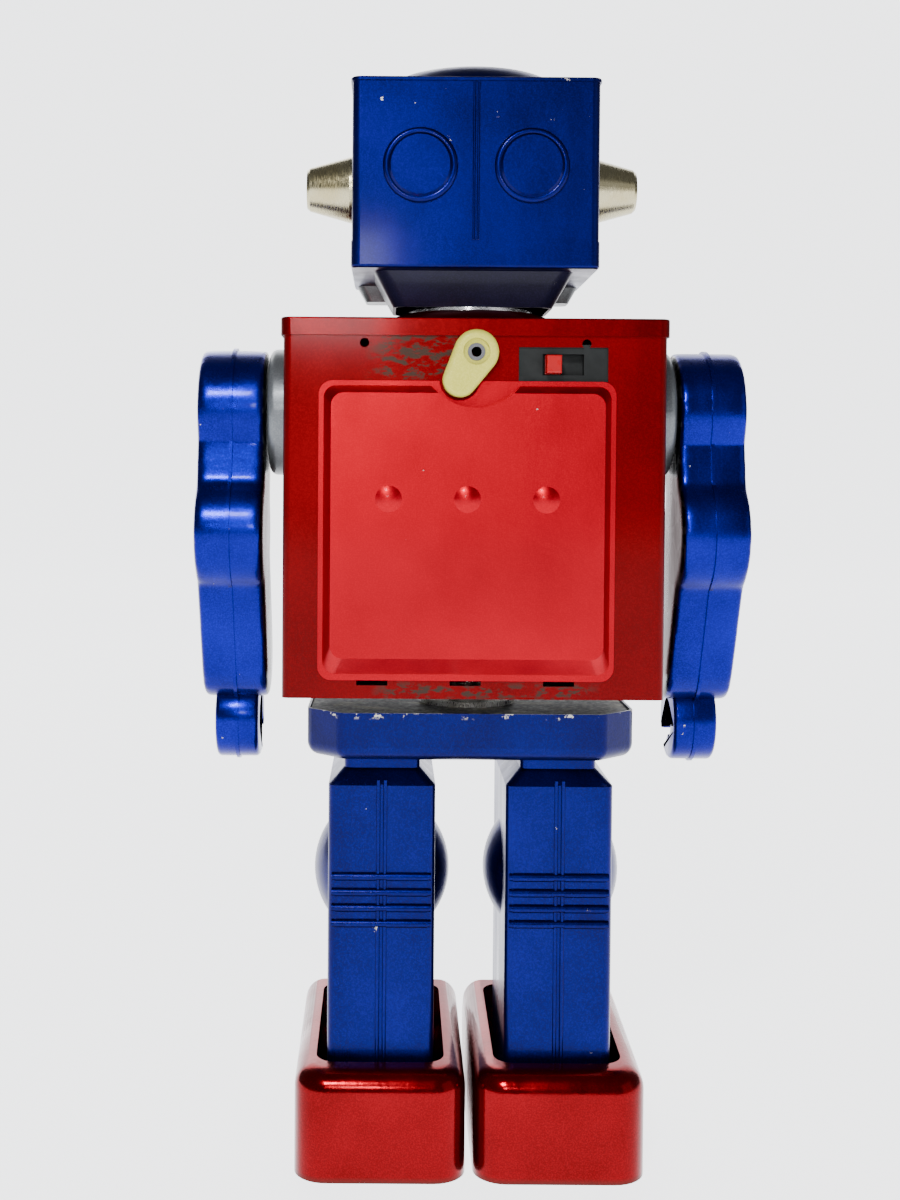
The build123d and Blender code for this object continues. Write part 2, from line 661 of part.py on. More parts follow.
with BuildPart() as rear_gear_plate:
    with BuildSketch(on_y(plate_rear + 0.8)):
        with Locations((0, 158.0)):
            RectangleRounded(66.0, 62.0, 4.0)
        with Locations((arbor_x, arbor_z), (side_x, side_z), (-side_x, side_z)):
            Circle(arbor_r + run, mode=Mode.SUBTRACT)
        with Locations((0, motor_z)):
            Circle(2.0, mode=Mode.SUBTRACT)
    extrude(amount=0.8)
    with BuildSketch(on_y(plate_rear)):
        with Locations([(sx * 29.0, 158.0 + sz * 27.0) for sx in (-1, 1) for sz in (-1, 1)]):
            Circle(1.8)
    extrude(amount=plate_rear - (plate_front + 0.8))
finish(rear_gear_plate, "rear_gear_plate")

with BuildPart() as front_gear_plate:
    with BuildSketch(on_y(plate_front + 0.8)):
        with Locations((0, 158.0)):
            RectangleRounded(66.0, 62.0, 4.0)
        with Locations((arbor_x, arbor_z), (side_x, side_z), (-side_x, side_z)):
            Circle(arbor_r + run, mode=Mode.SUBTRACT)
        with Locations((0, motor_z)):
            Circle(motor_r + 0.4, mode=Mode.SUBTRACT)
    extrude(amount=0.8)
finish(front_gear_plate, "front_gear_plate")

# ---------------------------------------------------------------- head
with BuildPart() as head_shell:
    with BuildSketch(Plane.XY.offset(head_bottom)):
        with Locations((0, mid_y)):
            RectangleRounded(head_w, head_d, 2.2)
    extrude(amount=head_top - head_bottom)
    # two round discs pressed out of the back
    with Locations([Plane((sx * 14.4, head_back, 261.3), z_dir=(0, 1, 0)) for sx in (-1, 1)]):
        Cone(9.2, 7.6, 1.7, align=(Align.CENTER, Align.CENTER, Align.MIN))
    with BuildSketch(Plane.XY.offset(head_bottom)):
        with Locations((0, mid_y)):
            RectangleRounded(head_w - 2 * tin, head_d - 2 * tin, 1.6)
    extrude(amount=head_top - head_bottom, mode=Mode.SUBTRACT)
    with Locations([Plane((sx * 14.4, head_back - tin, 261.3), z_dir=(0, 1, 0)) for sx in (-1, 1)]):
        Cone(8.6, 7.0, 1.7, align=(Align.CENTER, Align.CENTER, Align.MIN), mode=Mode.SUBTRACT)
    # the lapped seam down the back, the eye holes, the mouth and the ear holes
    with Locations((0, head_back, (head_bottom + head_top) / 2)):
        Box(0.5, 0.5, head_top - head_bottom, mode=Mode.SUBTRACT)
    with BuildSketch(on_y(head_front + 2)):
        with Locations((14.4, 264.0), (-14.4, 264.0)):
            Circle(7.6)
        with Locations((0, 248.0)):
            RectangleRounded(32.0, 8.0, 1.5)
    extrude(amount=4, mode=Mode.SUBTRACT)
    with Locations((0, mid_y, 259.4)):
        Cylinder(2.5, head_w + 4, rotation=(0, 90, 0), mode=Mode.SUBTRACT)
finish(head_shell, "head_shell")

crown_r, crown_z = 19.0, 4.4  # where the dome's wall turns into its crown


def dome_form(down):
    """The low dome pressed into the lid, or the hollow under it when moved down by the sheet."""
    base = head_top + 1.0 - down
    with BuildPart() as dome:
        with BuildSketch(Plane.XZ):
            with BuildLine():
                foot, turn, crown = (25.8, base), (crown_r, base + crown_z), (0, base + 6.3)
                RadiusArc(turn, foot, 11.0)
                RadiusArc(crown, turn, 96.0)
                Polyline(crown, (0, base - 0.5 - down), (25.8, base - 0.5 - down), foot)
            make_face()
        revolve(axis=Axis.Z)
    return dome.part


with BuildPart() as head_cap:
    with BuildSketch(Plane.XY.offset(head_top)):
        with Locations((0, mid_y)):
            RectangleRounded(head_w + 0.8, head_d + 0.8, 2.6)
    extrude(amount=1.0)
    fillet(head_cap.faces().sort_by(Axis.Z)[-1].edges(), 0.45)
    with Locations((0, mid_y, 0)):
        add(dome_form(0))
        add(dome_form(0.9), mode=Mode.SUBTRACT)
finish(head_cap, "head_cap")

base_bottom = 235.0
with BuildPart() as head_base:
    with BuildSketch(Plane.XY.offset(base_bottom)):
        with Locations((0, mid_y)):
            RectangleRounded(head_w + 0.4, head_d + 0.4, 2.4)
    extrude(amount=head_bottom - base_bottom)
    fillet(head_base.faces().sort_by(Axis.Z)[0].edges(), 0.8)
    with BuildSketch(Plane.XY.offset(base_bottom + tin)):
        with Locations((0, mid_y)):
            RectangleRounded(head_w - 2 * tin, head_d - 2 * tin, 1.6)
    extrude(amount=10, mode=Mode.SUBTRACT)
finish(head_base, "head_base")

cowl_y, cowl_low = 9.0, torso_top + tin + 4.2
with BuildPart() as neck_cowl:
    for inset, way in ((0, Mode.ADD), (0.8, Mode.SUBTRACT)):
        with BuildSketch(Plane.XY.offset(cowl_low)):
            with Locations((0, cowl_y)):
                RectangleRounded(42.4 - 2 * inset, 26.0 - 2 * inset, 4.0 - inset)
        with BuildSketch(Plane.XY.offset(base_bottom)):
            with Locations((0, cowl_y)):
                RectangleRounded(52.4 - 2 * inset, 34.0 - 2 * inset, 4.0 - inset)
        loft(mode=way)
finish(neck_cowl, "neck_cowl")

with BuildPart() as jaw:
    with BuildSketch(Plane.XY.offset(230.6)):
        with Locations((0, -14.0)):
            RectangleRounded(57.6, 9.0, 2.0)
    with BuildSketch(Plane.XY.offset(base_bottom)):
        with Locations((0, -14.2)):
            RectangleRounded(62.4, 11.0, 2.0)
    loft()
finish(jaw, "jaw")

for side, name in ((1, "left"), (-1, "right")):
    with BuildPart() as ear_cone:
        with BuildSketch(Plane.XY):
            with BuildLine():
                Polyline((0, 0), (8.9, 0), (8.9, 1.2), (5.9, 12.0), (5.2, 12.8), (0, 12.8), close=True)
            make_face()
        revolve(axis=Axis.Y)
        with BuildSketch(Plane.XZ):
            Circle(2.4)
        extrude(amount=3.0)
    with BuildPart() as ear_placed:
        with Locations(Location((side * head_w / 2, mid_y, 259.4), (0, 0, -90 * side))):
            add(ear_cone.part)
    finish(ear_placed, f"{name}_ear_cone")

with BuildPart() as eye_lenses:
    with Locations([Plane((sx * 14.4, head_front + tin, 264.0), z_dir=(0, -1, 0)) for sx in (-1, 1)]):
        Cylinder(7.5, 1.6, align=(Align.CENTER, Align.CENTER, Align.MIN))
    with Locations([Plane((sx * 14.4, head_front + tin + 0.8, 264.0), z_dir=(0, -1, 0)) for sx in (-1, 1)]):
        Cylinder(9.0, 0.8, align=(Align.CENTER, Align.CENTER, Align.MIN))
    fillet(eye_lenses.faces().sort_by(Axis.Y)[0].edges(), 0.6)
finish(eye_lenses, "eye_lenses")

with BuildPart() as mouth_grille:
    with BuildSketch(on_y(head_front + tin + 0.8)):
        with Locations((0, 248.0)):
            RectangleRounded(35.0, 11.0, 1.5)
            with GridLocations(4.0, 1, 7, 1):
                Rectangle(2.0, 6.4, mode=Mode.SUBTRACT)
    extrude(amount=0.8)
finish(mouth_grille, "mouth_grille")


# ---------------------------------------------------------------- arms
def arm_outline(grow):
    """The arm seen from the side, without the hand: shoulder disc, elbow disc and forearm."""
    with BuildSketch() as upper_arm:
        with Locations((8.0, 196.0), (13.0, 170.0)):
            Circle(11.0)
        make_hull()
    with BuildSketch() as forearm:
        with Locations((12.5, 161.0)):
            Circle(12.0)
        with Locations((-2.0, 130.0)):
            Circle(10.5)
        make_hull()
    with BuildSketch() as outline:
        with Locations((mid_y, shoulder_z)):
            Circle(shoulder_r)
        with Locations((elbow_y, elbow_z)):
            Circle(elbow_r)
        add(upper_arm.sketch)
        add(forearm.sketch)
        fillet(outline.vertices().filter_by(lambda corner: 140 < corner.Y < 190), 3.5)
        if grow:
            offset(amount=grow)
    return outline.sketch


def hand_outline(grow):
    """The gripping hand, a ring open at the lower front."""
    with BuildSketch() as outline:
        with Locations((hand_y, hand_z)):
            Circle(hand_r + grow)
            Circle(grip_r - grow, mode=Mode.SUBTRACT)
        with Locations(Location((hand_y - 8, hand_z - 6.5, 0), (0, 0, 39))):
            Rectangle(14, 6.4 - 2 * grow, mode=Mode.SUBTRACT)
    return outline.sketch


def make_arm_half(side, outward):
    """One pressed half of an arm and its hand, hollow, with the folded flange along its seam."""
    plane = Plane.YZ.offset(arm_x)
    with BuildPart() as half:
        with BuildSketch(plane):
            add(arm_outline(0))
        extrude(amount=outward * arm_half)
        fillet(half.faces().sort_by(Axis.X)[-1 if outward > 0 else 0].edges(), 2.4)
        with BuildSketch(plane):
            add(hand_outline(0))
        extrude(amount=outward * hand_half)
        with BuildSketch(plane):
            add(arm_outline(0.9))
            add(hand_outline(0.6))
        extrude(amount=outward * 0.4)
        # the hollow is stepped, so the wall stays even round the rounded edge
        with BuildSketch(plane):
            add(arm_outline(-tin - 0.2))
        extrude(amount=outward * (arm_half - 2.6), mode=Mode.SUBTRACT)
        with BuildSketch(plane):
            add(arm_outline(-2.8))
        extrude(amount=outward * (arm_half - tin - 0.1), mode=Mode.SUBTRACT)
        if outward < 0:
            with Locations((arm_x - arm_half, mid_y, shoulder_z)):
                Cylinder(2.0 + run, 10, rotation=(0, 90, 0), mode=Mode.SUBTRACT)
    if side > 0:
        return half
    with BuildPart() as other:
        mirror(half.part, about=Plane.YZ)
    return other


cup_x = torso_w / 2
for side, name in ((1, "left"), (-1, "right")):
    finish(make_arm_half(side, 1), f"{name}_arm_outer_shell")
    finish(make_arm_half(side, -1), f"{name}_arm_inner_shell")
    with BuildPart() as shoulder_cup:
        with BuildSketch(Plane.YZ.offset(side * cup_x)):
            with Locations((mid_y, shoulder_z)):
                Circle(17.2)
                Circle(2.0, mode=Mode.SUBTRACT)
        extrude(amount=side * 5.2)
        rim = shoulder_cup.faces().sort_by(Axis.X)[-1 if side > 0 else 0]
        fillet(rim.edges().sort_by(SortBy.LENGTH)[-1], 2.0)
        with BuildSketch(Plane.YZ.offset(side * cup_x)):
            with Locations((mid_y, shoulder_z)):
                Circle(14.6)
                Circle(4.0, mode=Mode.SUBTRACT)
        extrude(amount=side * 4.4, mode=Mode.SUBTRACT)
    finish(shoulder_cup, f"{name}_shoulder_cup")

with BuildPart() as shoulder_pins:
    for side in (1, -1):
        with BuildSketch(Plane.YZ.offset(side * 47.0)) as pin_round:
            with Locations((mid_y, shoulder_z)):
                Circle(2.0)
        extrude(amount=side * 12.0)
        with BuildSketch(Plane.YZ.offset(side * (arm_x - arm_half + tin + 0.6))):
            with Locations((mid_y, shoulder_z)):
                Circle(3.6)
        extrude(amount=side * 1.4)
        with BuildSketch(Plane.YZ.offset(side * (cup_x - tin - 1.2))):
            with Locations((mid_y, shoulder_z)):
                Circle(3.6)
        extrude(amount=side * 1.2)
finish(shoulder_pins, "shoulder_pins")
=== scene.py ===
import math

import bpy
from mathutils import Matrix, Vector


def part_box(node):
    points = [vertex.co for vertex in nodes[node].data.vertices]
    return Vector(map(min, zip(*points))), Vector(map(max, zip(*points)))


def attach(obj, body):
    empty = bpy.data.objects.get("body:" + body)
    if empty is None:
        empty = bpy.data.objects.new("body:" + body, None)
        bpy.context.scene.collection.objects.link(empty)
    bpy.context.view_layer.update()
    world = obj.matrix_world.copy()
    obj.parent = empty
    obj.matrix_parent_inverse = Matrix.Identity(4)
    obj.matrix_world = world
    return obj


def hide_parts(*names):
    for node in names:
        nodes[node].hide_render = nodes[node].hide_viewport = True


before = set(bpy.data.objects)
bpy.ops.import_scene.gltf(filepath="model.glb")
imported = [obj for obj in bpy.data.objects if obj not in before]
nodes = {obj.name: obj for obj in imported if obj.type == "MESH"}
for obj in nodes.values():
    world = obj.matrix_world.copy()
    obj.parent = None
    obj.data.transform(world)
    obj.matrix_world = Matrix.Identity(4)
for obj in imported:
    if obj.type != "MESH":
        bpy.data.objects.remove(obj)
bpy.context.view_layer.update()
MM = 0.001


# ---------------------------------------------------------------- boots
# Each boot is one deep-drawn tin shell, sprayed with a transparent red over a metallic ground, so it shines
# like candy. The real boot's opening has a turned-in lip and a folded bead stiffens its bottom edge; neither is
# modelled.
def tree_of(name):
    """A new material with an empty node tree: its nodes, its links, and the shader that ends it."""
    material = bpy.data.materials.new(name)
    material.use_nodes = True
    tree = material.node_tree
    shader = tree.nodes["Principled BSDF"]
    return material, tree, shader


def where(tree, scale=(1, 1, 1), turn=(0, 0, 0)):
    """Object coordinates through a Mapping node."""
    place = tree.nodes.new("ShaderNodeTexCoord")
    mapping = tree.nodes.new("ShaderNodeMapping")
    mapping.inputs["Scale"].default_value = scale
    mapping.inputs["Rotation"].default_value = turn
    tree.links.new(place.outputs["Object"], mapping.inputs["Vector"])
    return mapping.outputs["Vector"]


def noise(tree, vector, scale, detail=3.0, rough=0.55):
    """A noise pattern's plain value, with features about 1 / scale metres across."""
    node = tree.nodes.new("ShaderNodeTexNoise")
    node.inputs["Scale"].default_value = scale
    node.inputs["Detail"].default_value = detail
    node.inputs["Roughness"].default_value = rough
    tree.links.new(vector, node.inputs["Vector"])
    return node.outputs["Fac"]


def spread(tree, value, low, high, to_low=0.0, to_high=1.0):
    """A value between low and high, stretched to another range and held inside it."""
    node = tree.nodes.new("ShaderNodeMapRange")
    tree.links.new(value, node.inputs["Value"])
    for key, number in (("From Min", low), ("From Max", high), ("To Min", to_low), ("To Max", to_high)):
        node.inputs[key].default_value = number
    return node.outputs["Result"]


def sum_of(tree, kind, first, second):
    """One arithmetic step on two values, or on a value and a number."""
    node = tree.nodes.new("ShaderNodeMath")
    node.operation = kind
    node.use_clamp = True
    for socket, value in zip(node.inputs, (first, second)):
        if isinstance(value, (int, float)):
            socket.default_value = value
        else:
            tree.links.new(value, socket)
    return node.outputs[0]


def tint(tree, factor, first, second):
    """A mix of two colours, each a colour or a link, by a factor."""
    node = tree.nodes.new("ShaderNodeMix")
    node.data_type = "RGBA"
    tree.links.new(factor, node.inputs["Factor"])
    for key, value in (("A", first), ("B", second)):
        socket = [s for s in node.inputs if s.name == key and s.type == "RGBA"][0]
        if isinstance(value, tuple):
            socket.default_value = (*value, 1.0)
        else:
            tree.links.new(value, socket)
    return [s for s in node.outputs if s.type == "RGBA"][0]


def relief(tree, shader, height, strength, distance):
    """Drives the shader's normal from a height pattern."""
    bump = tree.nodes.new("ShaderNodeBump")
    bump.inputs["Strength"].default_value = strength
    bump.inputs["Distance"].default_value = distance
    tree.links.new(height, bump.inputs["Height"])
    tree.links.new(bump.outputs["Normal"], shader.inputs["Normal"])


def band(tree, axis, low, high, soft):
    """A mask that is 1 between two places along an axis of the object, with soft ends."""
    place = tree.nodes.new("ShaderNodeTexCoord")
    split = tree.nodes.new("ShaderNodeSeparateXYZ")
    tree.links.new(place.outputs["Object"], split.inputs[0])
    value = split.outputs[axis]
    rising = spread(tree, value, low - soft, low + soft)
    falling = spread(tree, value, high - soft, high + soft, 1.0, 0.0)
    return sum_of(tree, "MULTIPLY", rising, falling)


def enamel(name, deep, bright, metallic=0.35, rough=0.3, chips=0.63, worn=(), scrapes_and_painted_shade=(),
           printed=None):
    """Sprayed enamel on tin: cloudy colour, fine flake, orange peel, chips and worn bands.

    Its list of dark patches holds paint rubbed through to dark tin on the torso, and painted shade along the
    boots' bottom edge; printed is the band along X of a litho print.
    """
    material, tree, shader = tree_of(name)
    here = where(tree)
    clouds = spread(tree, noise(tree, here, 38.0), 0.3, 0.72)
    flake = spread(tree, noise(tree, here, 2600.0, 1.0), 0.42, 0.68, 0.0, 0.5)
    colour = tint(tree, sum_of(tree, "ADD", sum_of(tree, "MULTIPLY", clouds, 0.6), flake), deep, bright)
    chip = spread(tree, noise(tree, here, 210.0, 6.0, 0.7), chips + 0.075, chips + 0.085)
    for axis, low, high, soft, level in worn:
        scuff = spread(tree, noise(tree, here, 330.0, 5.0, 0.65), level, level + 0.03)
        chip = sum_of(tree, "MAXIMUM", chip, sum_of(tree, "MULTIPLY", scuff, band(tree, axis, low, high, soft)))
    colour = tint(tree, chip, colour, (0.42, 0.40, 0.36))
    # Dark streaked patches: tin where the paint is rubbed through, and painted shade at the boots' bottom edge.
    for across, along, up, level in scrapes_and_painted_shade:
        streak = spread(tree, noise(tree, where(tree, (1, 1, 2.2)), 260.0, 6.0, 0.7), level, level + 0.05)
        patch = sum_of(tree, "MULTIPLY", band(tree, 0, *across, 3 * MM), band(tree, 2, *up, 1.2 * MM))
        patch = sum_of(tree, "MULTIPLY", patch, band(tree, 1, *along, 1 * MM))
        colour = tint(tree, sum_of(tree, "MULTIPLY", streak, patch), colour, (0.035, 0.02, 0.015))
    if printed:
        cells = tree.nodes.new("ShaderNodeTexVoronoi")
        cells.feature = "DISTANCE_TO_EDGE"
        cells.inputs["Scale"].default_value = 130.0
        tree.links.new(here, cells.inputs["Vector"])
        lines = spread(tree, cells.outputs["Distance"], 0.06, 0.09, 1.0, 0.0)
        print_colour = tint(tree, lines, (0.001, 0.001, 0.002), (0.045, 0.048, 0.052))
        colour = tint(tree, band(tree, 0, *printed, 0.2 * MM), colour, print_colour)
    tree.links.new(colour, shader.inputs["Base Color"])
    streaks = noise(tree, where(tree, (1, 1, 0.25)), 90.0, 4.0)
    smear = spread(tree, streaks, 0.3, 0.75, rough - 0.05, rough + 0.13)
    tree.links.new(smear, shader.inputs["Roughness"])
    shader.inputs["Metallic"].default_value = metallic
    shader.inputs["Specular IOR Level"].default_value = 0.15
    shader.inputs["Coat Weight"].default_value = 0.07
    shader.inputs["Coat Roughness"].default_value = 0.1
    peel = noise(tree, here, 700.0, 2.0)
    relief(tree, shader, sum_of(tree, "SUBTRACT", peel, sum_of(tree, "MULTIPLY", chip, 0.8)), 0.12, 0.0003)
    return material


def bare_metal(name, colour, rough=0.3, grain=(1, 1, 1), grain_scale=900.0, tarnish=(0.3, 0.26, 0.18)):
    """Bare or plated metal: fine drawn lines along one direction, and patches of tarnish."""
    material, tree, shader = tree_of(name)
    lines = noise(tree, where(tree, grain), grain_scale, 2.0)
    patches = spread(tree, noise(tree, where(tree), 120.0, 5.0), 0.52, 0.72, 0.0, 0.6)
    tree.links.new(tint(tree, patches, colour, tarnish), shader.inputs["Base Color"])
    tree.links.new(spread(tree, lines, 0.3, 0.7, rough - 0.08, rough + 0.14), shader.inputs["Roughness"])
    shader.inputs["Metallic"].default_value = 1.0
    relief(tree, shader, lines, 0.15, 0.0002)
    return material


def moulded(name, deep, bright, rough=0.4, speckle=500.0, coat=0.0):
    """Moulded plastic, rubber or fibre board: a slight colour drift, and a fine skin of moulding texture."""
    material, tree, shader = tree_of(name)
    here = where(tree)
    drift = spread(tree, noise(tree, here, 60.0, 4.0), 0.3, 0.7)
    tree.links.new(tint(tree, drift, deep, bright), shader.inputs["Base Color"])
    tree.links.new(spread(tree, noise(tree, here, speckle), 0.3, 0.7, rough - 0.07, rough + 0.1),
                   shader.inputs["Roughness"])
    shader.inputs["Coat Weight"].default_value = coat
    shader.inputs["Specular IOR Level"].default_value = 0.2
    relief(tree, shader, noise(tree, here, speckle * 2, 2.0), 0.1, 0.0002)
    return material


def dress(material, *names):
    """Puts a material on CAD nodes whose shape is kept."""
    for name in names:
        for material_slot in nodes[name].material_slots:
            material_slot.material = material


def settle(name):
    """Applies the transform of the active object, so that it stands at the origin, and names it."""
    piece = bpy.context.object
    bpy.ops.object.transform_apply(location=True, rotation=True, scale=True)
    piece.name = piece.data.name = name
    return piece


def block(name, centre, size, tilt=0.0):
    """A box by its centre and size in millimetres, tilted about X by an angle in radians."""
    bpy.ops.object.select_all(action="DESELECT")
    bpy.ops.mesh.primitive_cube_add(size=1, location=[c * MM for c in centre], rotation=(tilt, 0, 0))
    bpy.context.object.scale = [c * MM for c in size]
    return settle(name)


def disc(name, centre, radius, depth, axis="X", sides=96):
    """A round disc or rod along X, Y or Z, in millimetres."""
    bpy.ops.object.select_all(action="DESELECT")
    quarter = math.pi / 2
    spin = {"X": (0, quarter, 0), "Y": (quarter, 0, 0), "Z": (0, 0, 0)}[axis]
    bpy.ops.mesh.primitive_cylinder_add(vertices=sides, radius=radius * MM, depth=depth * MM,
                                        location=[c * MM for c in centre], rotation=spin)
    return settle(name)


def ring(name, centre, radius, thick, axis="Y"):
    """A ring of round wire round an axis, in millimetres."""
    bpy.ops.object.select_all(action="DESELECT")
    spin = (math.pi / 2, 0, 0) if axis == "Y" else (0, math.pi / 2, 0) if axis == "X" else (0, 0, 0)
    bpy.ops.mesh.primitive_torus_add(major_radius=radius * MM, minor_radius=thick * MM, major_segments=96,
                                     minor_segments=16, location=[c * MM for c in centre], rotation=spin)
    piece = settle(name)
    bpy.ops.object.shade_smooth()
    return piece


def choose(piece, test):
    """Opens a piece in edit mode with the edges selected whose two ends, in millimetres, pass a test."""
    bpy.ops.object.mode_set(mode="OBJECT")
    bpy.ops.object.select_all(action="DESELECT")
    piece.select_set(True)
    bpy.context.view_layer.objects.active = piece
    bpy.ops.object.mode_set(mode="EDIT")
    bpy.ops.mesh.select_mode(type="EDGE")
    bpy.ops.mesh.select_all(action="DESELECT")
    bpy.ops.object.mode_set(mode="OBJECT")
    points = [v.co / MM for v in piece.data.vertices]
    for edge in piece.data.edges:
        edge.select = test(*[points[v] for v in edge.vertices])
    bpy.ops.object.mode_set(mode="EDIT")


def shape(piece, kind, **settings):
    """Adds a modifier to a piece and applies it."""
    bpy.ops.object.select_all(action="DESELECT")
    piece.select_set(True)
    bpy.context.view_layer.objects.active = piece
    modifier = piece.modifiers.new(kind.lower(), kind)
    for key, value in settings.items():
        setattr(modifier, key, value)
    bpy.ops.object.modifier_apply(modifier=modifier.name)


def cut(piece, tool):
    """Takes a tool's volume out of a piece and removes the tool."""
    shape(piece, "BOOLEAN", object=tool, operation="DIFFERENCE", solver="EXACT")
    bpy.data.objects.remove(tool)


def join(pieces):
    """Joins pieces into the first of them."""
    bpy.ops.object.select_all(action="DESELECT")
    for piece in pieces:
        piece.select_set(True)
    bpy.context.view_layer.objects.active = pieces[0]
    bpy.ops.object.join()
    return pieces[0]


def finish(piece, material, body, slot, *replaced):
    """Smooths a piece, gives it its material, ties it to its body and hides the nodes it stands for. Its slot
    is not used.
    """
    bpy.ops.object.select_all(action="DESELECT")
    piece.select_set(True)
    bpy.context.view_layer.objects.active = piece
    bpy.ops.object.shade_smooth_by_angle(angle=math.radians(40))
    piece.data.materials.clear()
    piece.data.materials.append(material)
    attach(piece, body)
    if replaced:
        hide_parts(*replaced)


SIDES = ("left", "right")
SIGN = {"left": 1, "right": -1}
# The dark streaked band along the boots' bottom edge, next to the floor, is painted shade.
boot_bottom_painted_shade = ((-60 * MM, 60 * MM), (-60 * MM, 60 * MM), (-2 * MM, 1.0 * MM), -0.5)
candy = enamel("boot_candy_red", (0.10, 0.0, 0.001), (0.20, 0.0, 0.004), metallic=0.92, rough=0.17,
               chips=0.7, scrapes_and_painted_shade=(boot_bottom_painted_shade,))
tin = bare_metal("bare_tinplate", (0.60, 0.60, 0.58), 0.34)
steel_pin = bare_metal("turned_steel", (0.55, 0.54, 0.52), 0.28, (6, 1, 1))
roller = moulded("black_rubber", (0.012, 0.012, 0.012), (0.035, 0.035, 0.034), 0.65, 800.0)
boot_wide, boot_long, boot_x, boot_lift = 44.4, 84.0, 23.2, 0.6
heel_high, ball_high, toe_high, ball_y = 28.5, 32.0, 14.0, -23.0
heel_round, toe_round, edge_round, opening_round = 8.5, 15.0, 5.5, 5.0
boot_sheet, leg_y = 0.7, 7.0


def upright(a, b):
    """Whether an edge between two points stands upright."""
    return abs(a.x - b.x) < 0.1 and abs(a.y - b.y) < 0.1


def make_boot(side):
    """The drawn boot: a block bevelled round every edge, opened below, made thin and cut for the leg."""
    x, half = SIGN[side] * boot_x, boot_long / 2
    boot = block(f"{side}_boot", (x, 0, (ball_high + boot_lift) / 2),
                 (boot_wide, boot_long, ball_high - boot_lift))
    choose(boot, lambda a, b: abs(a.y - b.y) > 1)
    bpy.ops.mesh.subdivide(number_cuts=1)
    choose(boot, lambda a, b: abs(a.y) < 1 and abs(b.y) < 1)
    bpy.ops.transform.translate(value=(0, ball_y * MM, 0))
    choose(boot, lambda a, b: min(a.y, b.y) > half - 1 and min(a.z, b.z) > 20)
    bpy.ops.transform.translate(value=(0, 0, (heel_high - ball_high) * MM))
    choose(boot, lambda a, b: max(a.y, b.y) < 1 - half and min(a.z, b.z) > 20)
    bpy.ops.transform.translate(value=(0, 0, (toe_high - ball_high) * MM))
    choose(boot, lambda a, b: upright(a, b) and a.y > half - 1)
    bpy.ops.mesh.bevel(offset=heel_round * MM, segments=8)
    choose(boot, lambda a, b: upright(a, b) and a.y < 1 - half)
    bpy.ops.mesh.bevel(offset=toe_round * MM, segments=10)
    choose(boot, lambda a, b: min(a.z, b.z) > 10 and not upright(a, b)
           and not (abs(a.y - b.y) < 0.01 and abs(a.y - ball_y) < 1))
    bpy.ops.mesh.bevel(offset=edge_round * MM, segments=8)
    choose(boot, lambda a, b: max(a.z, b.z) < 1)
    bpy.ops.mesh.delete(type="ONLY_FACE")
    bpy.ops.object.mode_set(mode="OBJECT")
    shape(boot, "SOLIDIFY", thickness=boot_sheet * MM, offset=-1.0)
    opening = block("opening", (x, leg_y, 34), (33.5, 54, 28))
    choose(opening, upright)
    bpy.ops.mesh.bevel(offset=opening_round * MM, segments=6)
    bpy.ops.object.mode_set(mode="OBJECT")
    cut(boot, opening)
    finish(boot, candy, f"{side}_boot", "boot_enamel", f"{side}_boot_shell")


for side in SIDES:
    make_boot(side)
    dress(tin, f"{side}_sole_plate")
    dress(steel_pin, f"{side}_ankle_pin")
    dress(roller, f"{side}_front_wheels", f"{side}_rear_wheels")

# ---------------------------------------------------------------- legs
# A leg is pressed in two halves that meet in a groove down the front and back, with a round knee disc on
# each side. Four ribs cross each face at the knee, and the seam's two lips stand a little proud of it.
leg_blue = enamel("leg_blue", (0.001, 0.001, 0.042), (0.003, 0.004, 0.125), metallic=0.9, rough=0.28)
bead_reach = 23.9  # from the leg's middle to its ribs and lips
for side in SIDES:
    dress(leg_blue, f"{side}_leg_outer_shell", f"{side}_leg_inner_shell")
    x, beads = SIGN[side] * boot_x, []
    for face_y in (leg_y + bead_reach, leg_y - bead_reach):
        for rib_z in (76.7, 72.6, 68.5, 64.4):
            beads.append(disc("rib", (x, face_y, rib_z), 1.0, 26.0, "X", 24))
        for lip in (-0.9, 0.9):
            beads.append(disc("lip", (x + lip, face_y, 61.0), 0.55, 82.0, "Z", 16))
    beads[0].name = f"{side}_leg_beads"
    finish(join(beads), leg_blue, f"{side}_leg", "leg_enamel")
    dress(steel_pin, f"{side}_leg_bar")

# ---------------------------------------------------------------- pelvis
# A shallow pan with cut corners, open at the top. Its upper rim has lost its paint where the torso rubs.
pan_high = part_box("pelvis_pan")[1]
pelvis_blue = enamel("pelvis_blue", (0.001, 0.001, 0.035), (0.003, 0.004, 0.10), metallic=0.9, rough=0.28,
                     worn=((2, pan_high.z - 1.2 * MM, pan_high.z + 1 * MM, 0.5 * MM, 0.58),))
dress(pelvis_blue, "pelvis_pan")
# The pelvis plate under the torso is coloured near black as painted shade, not the colour of its tin.
dress(bare_metal("pelvis_plate_painted_shade", (0.03, 0.03, 0.032), 0.5), "pelvis_plate")
dress(steel_pin, "waist_bearing", "hip_rod", "crank_shaft", "waist_shaft")

